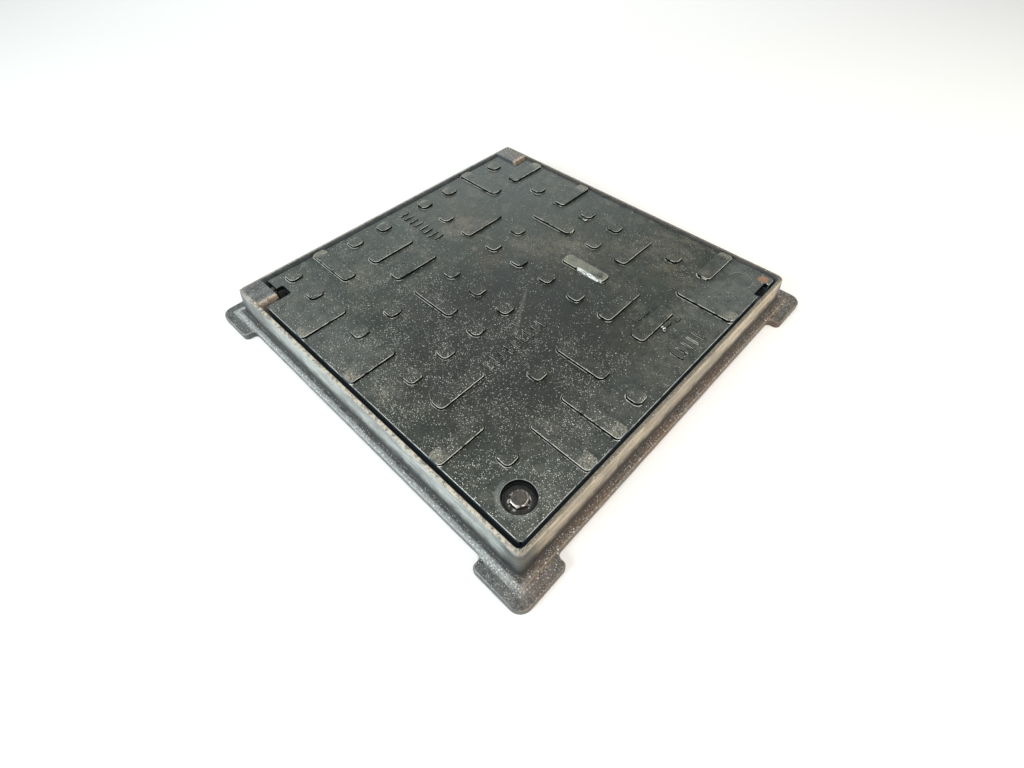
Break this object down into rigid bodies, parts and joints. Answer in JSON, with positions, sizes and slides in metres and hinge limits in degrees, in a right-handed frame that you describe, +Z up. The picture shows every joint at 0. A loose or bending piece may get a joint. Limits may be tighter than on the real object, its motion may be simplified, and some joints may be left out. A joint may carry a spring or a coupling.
{
  "type": "manhole cover",
  "caption": "Square cast-iron access cover in its flanged frame, with raised anti-slip studs and bars, lifting slots, a tilting lid and a quarter-turn lock bolt.",
  "frame": {"origin": "centre of the square base, on the plane that the four feet stand on", "axes": "+Z up through the cover; the hinge edge of the lid is at -X and the lock is in the corner at +X, -Y"},
  "size_m": [0.6, 0.6, 0.052],
  "materials": {
    "frame_iron": "rough sand-cast iron, dark coating worn pale on the rim",
    "lid_iron": "dark bitumen-coated sand casting with a slight sheen and fine sparkle",
    "bolt_steel": "dulled and lightly rusted steel",
    "washer_steel": "zinc-coated steel gone dull",
    "cam_iron": "rough coated casting"
  },
  "bodies": {
    "frame": {"frame": "frame_iron"},
    "lid": {"lid": "lid_iron"},
    "lock": {"lock_bolt": "bolt_steel", "bolt_washer": "washer_steel", "spring_washer": "washer_steel", "lock_cam": "cam_iron", "lock_nut": "washer_steel"}
  },
  "joints": [
    {"name": "lid_tilt", "type": "hinge", "parent": "frame", "child": "lid", "pos_m": [-0.245, 0, 0.0405], "axis": [0, -1, 0], "range_deg": [0, 110]},
    {"name": "lock_turn", "type": "hinge", "parent": "lid", "child": "lock", "pos_m": [0.2255, -0.2235, 0.0235], "axis": [0, 0, -1], "range_deg": [0, 90]}
  ]
}
